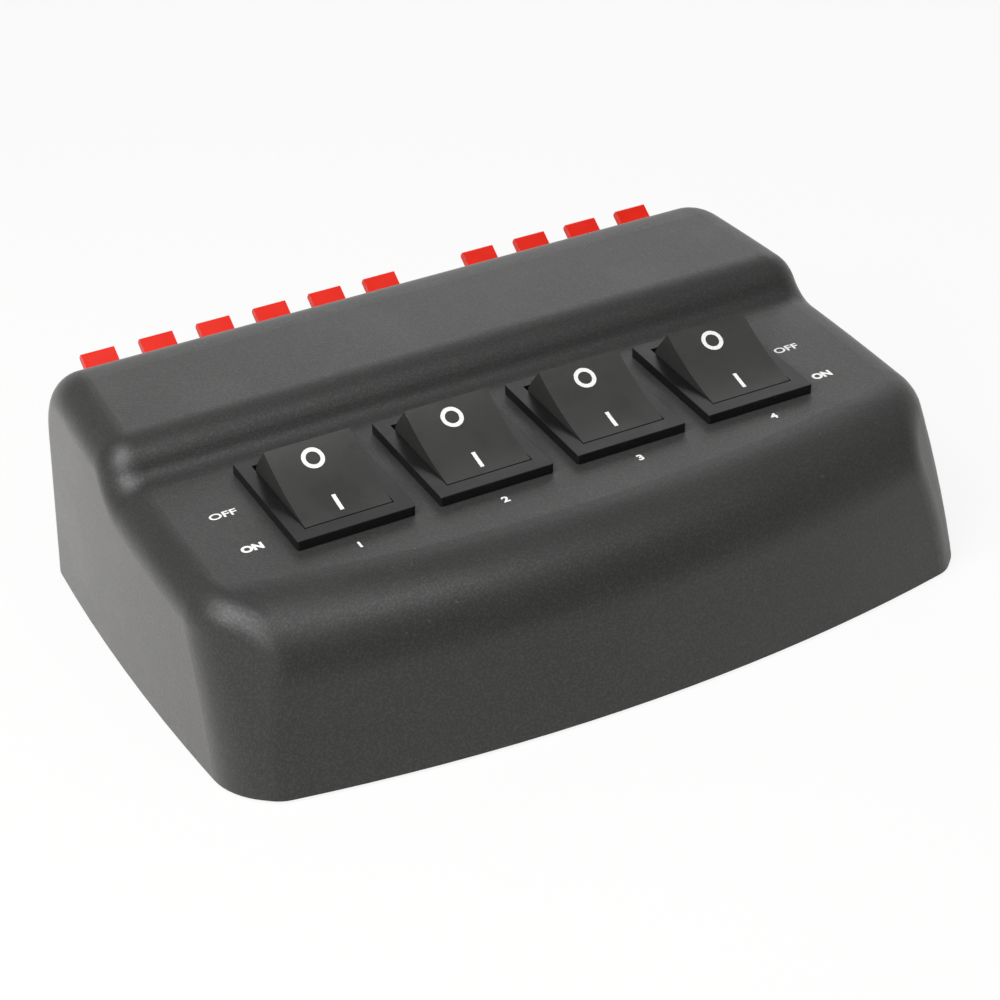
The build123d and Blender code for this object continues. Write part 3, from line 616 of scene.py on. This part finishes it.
studio = {
    "floorRadius": 2.6,
    "floorSides": 96,
    "coveRadius": 0.6,
    "coveSteps": 12,
    "coveRise": 0.5,
    "floorColour": (0.70, 0.69, 0.675),
    "floorRoughness": 0.9,
    "whiteShare": 0.88,           # how far the floor shows plain white to the camera
    "worldStrength": 0.2,
    # name, direction from the object, distance, width and height, power in watts
    "softboxes": [
        ("keyBox", (-0.56, -0.25, 0.80), 0.75, (0.46, 0.64), 6.8),
        ("sideBox", (-0.93, -0.17, 0.34), 1.0, (1.0, 0.4), 0.9),
        ("frontBox", (0.12, -0.44, 0.89), 0.9, (0.24, 0.24), 1.3),
        ("backBox", (0.49, 0.69, 0.56), 1.2, (1.0, 0.6), 2.6),
    ],
}


# a round floor that curves up into a low wall
def makeFloor():
    form = bmesh.new()
    bmesh.ops.create_circle(
        form, cap_ends=True, radius=studio["floorRadius"], segments=studio["floorSides"]
    )
    edges = form.edges[:]
    for step in range(1, studio["coveSteps"] + 1):
        turn = step / studio["coveSteps"] * pi / 2
        radius = studio["floorRadius"] + studio["coveRadius"] * sin(turn)
        height = studio["coveRadius"] * (1 - cos(turn))
        grown = bmesh.ops.extrude_edge_only(form, edges=edges)["geom"]
        ring = [item for item in grown if isinstance(item, bmesh.types.BMVert)]
        edges = [item for item in grown if isinstance(item, bmesh.types.BMEdge)]
        now = sum(vertex.co.xy.length for vertex in ring) / len(ring)
        bmesh.ops.scale(form, vec=(radius / now, radius / now, 1), verts=ring)
        bmesh.ops.translate(form, vec=(0, 0, height - ring[0].co.z), verts=ring)
    grown = bmesh.ops.extrude_edge_only(form, edges=edges)["geom"]
    ring = [item for item in grown if isinstance(item, bmesh.types.BMVert)]
    bmesh.ops.translate(form, vec=(0, 0, studio["coveRise"]), verts=ring)
    bmesh.ops.recalc_face_normals(form, faces=form.faces[:])
    if form.faces[0].normal.z < 0:
        bmesh.ops.reverse_faces(form, faces=form.faces[:])
    mesh = bpy.data.meshes.new("floor")
    form.to_mesh(mesh)
    form.free()
    mesh.shade_smooth()
    material, tree, shader = startMaterial("floorPaper")
    shader.inputs["Base Color"].default_value = (*studio["floorColour"], 1)
    shader.inputs["Roughness"].default_value = studio["floorRoughness"]
    shader.inputs["Specular IOR Level"].default_value = 0.0
    rays = tree.nodes.new("ShaderNodeLightPath")
    seen = maths(tree, "MULTIPLY", rays.outputs["Is Camera Ray"], studio["whiteShare"])
    glow = tree.nodes.new("ShaderNodeEmission")
    mixer = tree.nodes.new("ShaderNodeMixShader")
    tree.links.new(seen, mixer.inputs["Fac"])
    tree.links.new(shader.outputs["BSDF"], mixer.inputs[1])
    tree.links.new(glow.outputs["Emission"], mixer.inputs[2])
    tree.links.new(mixer.outputs["Shader"], tree.nodes["Material Output"].inputs["Surface"])
    mesh.materials.append(material)
    floor = bpy.data.objects.new("floor", mesh)
    collection.objects.link(floor)


def makeSoftbox(name, direction, distance, size, power):
    light = bpy.data.lights.new(name, "AREA")
    light.shape = "RECTANGLE"
    light.size, light.size_y = size
    light.energy = power
    lamp = bpy.data.objects.new(name, light)
    collection.objects.link(lamp)
    lamp.location = Vector(direction).normalized() * distance
    lamp.rotation_euler = (-lamp.location).to_track_quat("-Z", "Y").to_euler()


def makeWorld():
    world = bpy.data.worlds.new("studio")
    bpy.context.scene.world = world
    world.use_nodes = True
    background = world.node_tree.nodes["Background"]
    background.inputs["Color"].default_value = (1, 1, 1, 1)
    background.inputs["Strength"].default_value = studio["worldStrength"]


camera = {
    "right": -0.222485,
    "beforeFront": 0.380784,      # how far it stands in front of the case's foremost point
    "height": 0.292970,
    "heading": radians(26.645),   # turned from +Y towards +X
    "pitch": radians(-29.118),
    "roll": radians(-3.537),
    "lens": 95.9,
    "sensor": 36.0,
    "clipStart": 0.01,
}


def makeCamera():
    data = bpy.data.cameras.new("camera")
    data.lens = camera["lens"]
    data.sensor_width = camera["sensor"]
    data.sensor_fit = "HORIZONTAL"
    data.clip_start = camera["clipStart"]
    eye = bpy.data.objects.new("camera", data)
    collection.objects.link(eye)
    place = Vector((camera["right"], cadBox[0][1] - camera["beforeFront"], camera["height"]))
    eye.matrix_world = (
        Matrix.Translation(place)
        @ Matrix.Rotation(-camera["heading"], 4, "Z")
        @ Matrix.Rotation(pi / 2 + camera["pitch"], 4, "X")
        @ Matrix.Rotation(camera["roll"], 4, "Z")
    )
    bpy.context.scene.camera = eye


makeFloor()
for softbox in studio["softboxes"]:
    makeSoftbox(*softbox)
makeWorld()
makeCamera()
bpy.context.scene.view_settings.view_transform = "Standard"
print("studio set")
